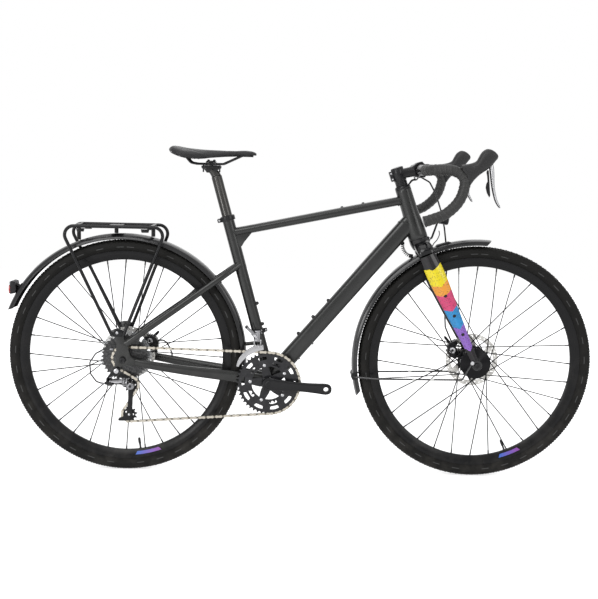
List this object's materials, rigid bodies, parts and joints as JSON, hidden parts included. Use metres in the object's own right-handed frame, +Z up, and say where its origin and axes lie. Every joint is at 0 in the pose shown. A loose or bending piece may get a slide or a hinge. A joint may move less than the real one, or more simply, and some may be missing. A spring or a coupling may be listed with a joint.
{
  "type": "gravel bicycle",
  "caption": "Drop-bar gravel bicycle with fenders, a rear rack, dynamo lights, disc brakes and a chain drive; it steers, rolls, shifts, brakes and has a sliding seatpost.",
  "frame": {"origin": "on the ground under the middle of the bicycle", "axes": "+X forward, +Y to the rider's left, +Z up; the chain is on the -Y side"},
  "size_m": [1.7486, 0.4996, 0.9822],
  "materials": {
    "frame_anthracite": "satin metallic paint",
    "fork_gloss": "gloss paint in colour bands",
    "black_metal": "satin black",
    "black_gloss": "gloss black",
    "black_plastic": "matt",
    "tyre_rubber": "matt treaded rubber",
    "bar_tape": "matt grip tape",
    "saddle_vinyl": "satin synthetic leather",
    "silver_metal": "polished",
    "chain_steel": "oiled",
    "rotor_steel": "brushed",
    "lamp_black": "gloss"
  },
  "bodies": {
    "frame_body": {"frame": "frame_anthracite", "seat_clamp": "black_metal", "bottom_bracket": "black_metal", "rear_axle": "black_metal", "rear_fender": "black_gloss", "rear_rack": "black_metal", "rear_light": "lamp_black", "rear_caliper": "black_metal", "front_derailleur_clamp": "silver_metal", "rear_brake_cable": "black_plastic", "rear_shift_cable": "black_plastic", "chain": "chain_steel", "rear_derailleur_body": "black_metal"},
    "seat": {"seatpost": "black_metal", "saddle_clamp": "black_metal", "saddle_rails": "black_metal", "saddle_shell": "black_plastic", "saddle_cover": "saddle_vinyl"},
    "steering": {"fork": "fork_gloss", "front_axle": "black_metal", "front_fender": "black_gloss", "headset_cover": "black_metal", "stem": "black_metal", "stem_faceplate": "black_metal", "handlebar": "black_metal", "bar_tape_left": "bar_tape", "bar_tape_right": "bar_tape", "brake_hood_left": "black_plastic", "brake_hood_right": "black_plastic", "front_caliper": "black_metal", "front_light": "lamp_black", "front_brake_cable": "black_plastic", "control_cables": "black_plastic"},
    "front_wheel": {"front_tyre": "tyre_rubber", "front_rim": "black_metal", "front_hub_spokes": "black_metal", "front_rotor": "rotor_steel"},
    "rear_wheel": {"rear_tyre": "tyre_rubber", "rear_rim": "black_metal", "rear_hub_spokes": "black_metal", "rear_rotor": "rotor_steel"},
    "sprockets": {"cassette": "black_metal"},
    "cranks": {"crank_right": "black_metal", "crank_left": "black_metal", "outer_chainring": "black_metal", "inner_chainring": "black_metal"},
    "lever_right": {"brake_lever_right": "silver_metal"},
    "lever_left": {"brake_lever_left": "silver_metal"},
    "paddle_right": {"shift_paddle_right": "black_metal"},
    "paddle_left": {"shift_paddle_left": "black_metal"},
    "front_brake_arm": {"front_caliper_arm": "silver_metal"},
    "rear_brake_arm": {"rear_caliper_arm": "silver_metal"},
    "shift_outer_link": {"derailleur_outer_link": "silver_metal"},
    "shift_inner_link": {"derailleur_inner_link": "black_metal"},
    "shift_knuckle": {"derailleur_knuckle": "silver_metal"},
    "pulley_cage": {"derailleur_cage": "black_metal"},
    "upper_pulley": {"guide_pulley": "black_plastic"},
    "lower_pulley": {"tension_pulley": "black_plastic"},
    "front_shift_link": {"front_derailleur_link": "silver_metal"},
    "front_shift_cage": {"front_derailleur_cage": "silver_metal"}
  },
  "joints": [
    {"name": "seatpost_slide", "type": "slide", "parent": "frame_body", "child": "seat", "axis": [-0.2689, 0, 0.9632], "range_m": [-0.1, 0.06]},
    {"name": "steering_turn", "type": "hinge", "parent": "frame_body", "child": "steering", "pos_m": [0.34277, 0, 0.72045], "axis": [-0.3256, 0, 0.9455], "range_deg": [-60, 60]},
    {"name": "front_wheel_spin", "type": "hinge", "parent": "steering", "child": "front_wheel", "pos_m": [0.52426, 0, 0.35], "axis": [0, 1, 0], "continuous": true},
    {"name": "rear_wheel_spin", "type": "hinge", "parent": "frame_body", "child": "rear_wheel", "pos_m": [-0.52234, 0, 0.35], "axis": [0, 1, 0], "continuous": true},
    {"name": "crank_spin", "type": "hinge", "parent": "frame_body", "child": "cranks", "pos_m": [-0.09245, 0, 0.2835], "axis": [0, 1, 0], "continuous": true, "deforming": ["chain"]},
    {"name": "sprocket_spin", "type": "hinge", "parent": "frame_body", "child": "sprockets", "pos_m": [-0.52234, 0, 0.35], "axis": [0, 1, 0], "continuous": true},
    {"name": "brake_lever_right_pull", "type": "hinge", "parent": "steering", "child": "lever_right", "pos_m": [0.50686, -0.2225, 0.9472], "axis": [0, 1, 0], "range_deg": [0, 24], "stiffness_Nm_per_rad": 1.2, "springref_deg": -14.32},
    {"name": "brake_lever_left_pull", "type": "hinge", "parent": "steering", "child": "lever_left", "pos_m": [0.50686, 0.2225, 0.9472], "axis": [0, 1, 0], "range_deg": [0, 24], "stiffness_Nm_per_rad": 1.2, "springref_deg": -14.32},
    {"name": "shift_paddle_right_push", "type": "hinge", "parent": "lever_right", "child": "paddle_right", "pos_m": [0.50066, -0.2225, 0.9212], "axis": [1, 0, 0], "range_deg": [0, 15], "stiffness_Nm_per_rad": 0.3, "springref_deg": -11.46},
    {"name": "shift_paddle_left_push", "type": "hinge", "parent": "lever_left", "child": "paddle_left", "pos_m": [0.50066, 0.2225, 0.9212], "axis": [-1, 0, 0], "range_deg": [0, 15], "stiffness_Nm_per_rad": 0.3, "springref_deg": -11.46},
    {"name": "front_caliper_arm_pull", "type": "hinge", "parent": "steering", "child": "front_brake_arm", "pos_m": [0.47073, 0.0585, 0.38131], "axis": [0, 1, 0], "range_deg": [0, 20]},
    {"name": "rear_caliper_arm_pull", "type": "hinge", "parent": "frame_body", "child": "rear_brake_arm", "pos_m": [-0.45834, 0.0672, 0.388], "axis": [0, 1, 0], "range_deg": [0, 20]},
    {"name": "rear_shift_outer_link", "type": "hinge", "parent": "frame_body", "child": "shift_outer_link", "pos_m": [-0.55834, -0.0761, 0.28686], "axis": [0, 0.6428, 0.766], "range_deg": [-25, 45]},
    {"name": "rear_shift_inner_link", "type": "hinge", "parent": "frame_body", "child": "shift_inner_link", "pos_m": [-0.55834, -0.0669, 0.27914], "axis": [0, 0.6428, 0.766], "range_deg": [-25, 45]},
    {"name": "rear_shift_knuckle", "type": "hinge", "parent": "shift_outer_link", "child": "shift_knuckle", "pos_m": [-0.51834, -0.0761, 0.28686], "axis": [0, 0.6428, 0.766], "range_deg": [-45, 25]},
    {"name": "pulley_cage_swing", "type": "hinge", "parent": "shift_knuckle", "child": "pulley_cage", "pos_m": [-0.50034, 0, 0.271], "axis": [0, -1, 0], "range_deg": [0, 40], "stiffness_Nm_per_rad": 0.25, "springref_deg": -68.75},
    {"name": "upper_pulley_spin", "type": "hinge", "parent": "pulley_cage", "child": "upper_pulley", "pos_m": [-0.50034, 0, 0.271], "axis": [0, 1, 0], "continuous": true},
    {"name": "lower_pulley_spin", "type": "hinge", "parent": "pulley_cage", "child": "lower_pulley", "pos_m": [-0.50616, 0, 0.18119], "axis": [0, 1, 0], "continuous": true},
    {"name": "front_shift_link_swing", "type": "hinge", "parent": "frame_body", "child": "front_shift_link", "pos_m": [-0.12747, -0.03, 0.43429], "axis": [1, 0, 0], "range_deg": [0, 18]},
    {"name": "front_shift_cage_swing", "type": "hinge", "parent": "front_shift_link", "child": "front_shift_cage", "pos_m": [-0.12747, -0.0465, 0.41029], "axis": [1, 0, 0], "range_deg": [-18, 0]}
  ],
  "couplings": [
    {"joint": "sprocket_spin", "follows": "crank_spin", "ratio": 2.7059},
    {"joint": "upper_pulley_spin", "follows": "crank_spin", "ratio": -4.1818},
    {"joint": "lower_pulley_spin", "follows": "crank_spin", "ratio": 4.1818},
    {"joint": "front_caliper_arm_pull", "follows": "brake_lever_left_pull", "ratio": 0.83},
    {"joint": "rear_caliper_arm_pull", "follows": "brake_lever_right_pull", "ratio": 0.83},
    {"joint": "rear_shift_inner_link", "follows": "rear_shift_outer_link", "ratio": 1},
    {"joint": "rear_shift_knuckle", "follows": "rear_shift_outer_link", "ratio": -1},
    {"joint": "front_shift_cage_swing", "follows": "front_shift_link_swing", "ratio": -1}
  ]
}
